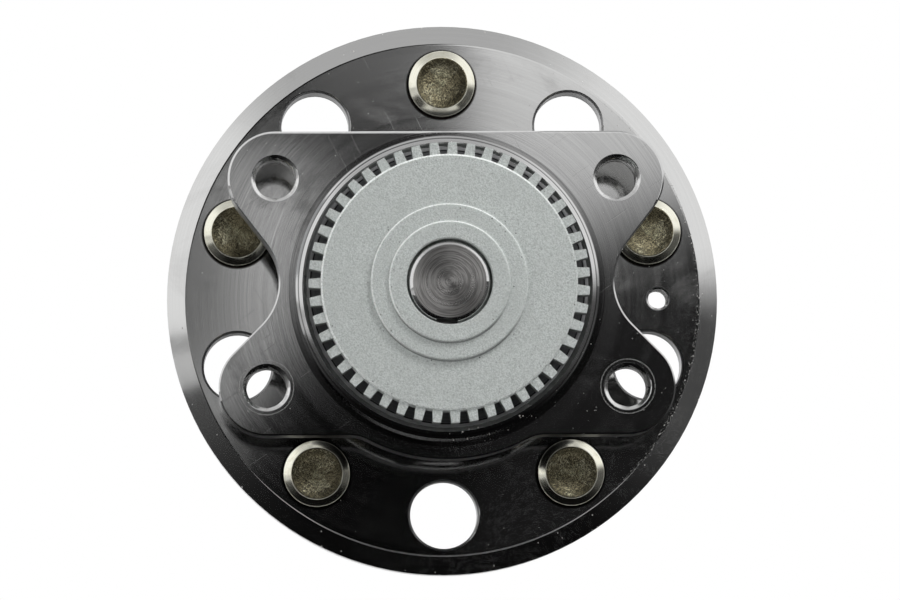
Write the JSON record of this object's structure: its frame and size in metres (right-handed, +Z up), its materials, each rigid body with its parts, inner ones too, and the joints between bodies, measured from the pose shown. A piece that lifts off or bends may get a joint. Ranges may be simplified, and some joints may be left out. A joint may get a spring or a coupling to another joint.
{
  "type": "wheel hub bearing",
  "caption": "Flanged wheel hub unit: studded wheel flange and spindle turning on two ball rows in a knuckle-mounted outer ring, with a toothed speed-sensor ring.",
  "frame": {"origin": "centre of the wheel mounting face, on the hub axis", "axes": "+Y along the hub axis towards the wheel, +Z up as mounted, knuckle and tone ring on the -Y side"},
  "size_m": [0.146, 0.1015, 0.146],
  "materials": {
    "forged_steel": "ground and turned bearing steel, bright, light machining marks",
    "inner_race_steel": "hardened and ground bearing steel",
    "sintered_steel": "matt sintered steel, fine pits, pale grey",
    "nut_steel": "phosphated dark steel",
    "sheet_steel": "cold-rolled sheet, satin",
    "stud_plating": "yellow zinc plate, dusty heads",
    "seal_rubber": "matt black nitrile rubber",
    "ball_steel": "lapped bearing balls",
    "cage_nylon": "glass-filled nylon, brown-black"
  },
  "bodies": {
    "housing": {"outer_ring": "forged_steel", "outboard_seal_case": "sheet_steel", "outboard_seal_lips": "seal_rubber", "inboard_seal_case": "sheet_steel", "inboard_seal_lips": "seal_rubber"},
    "hub": {"wheel_hub": "forged_steel", "inner_ring": "inner_race_steel", "tab_washer": "sheet_steel", "lock_nut": "nut_steel", "tone_ring": "sintered_steel", "inboard_slinger": "sheet_steel", "wheel_stud_1": "stud_plating", "wheel_stud_2": "stud_plating", "wheel_stud_3": "stud_plating", "wheel_stud_4": "stud_plating", "wheel_stud_5": "stud_plating"},
    "outboard_ball_set": {"outboard_balls": "ball_steel", "outboard_cage": "cage_nylon"},
    "inboard_ball_set": {"inboard_balls": "ball_steel", "inboard_cage": "cage_nylon"}
  },
  "joints": [
    {"name": "hub_spin", "type": "hinge", "parent": "housing", "child": "hub", "pos_m": [0, 0, 0], "axis": [0, 1, 0], "continuous": true},
    {"name": "outboard_balls_orbit", "type": "hinge", "parent": "housing", "child": "outboard_ball_set", "pos_m": [0, -0.0255, 0], "axis": [0, 1, 0], "continuous": true},
    {"name": "inboard_balls_orbit", "type": "hinge", "parent": "housing", "child": "inboard_ball_set", "pos_m": [0, -0.039, 0], "axis": [0, 1, 0], "continuous": true}
  ],
  "couplings": [
    {"joint": "outboard_balls_orbit", "follows": "hub_spin", "ratio": 0.4241},
    {"joint": "inboard_balls_orbit", "follows": "hub_spin", "ratio": 0.4241}
  ]
}
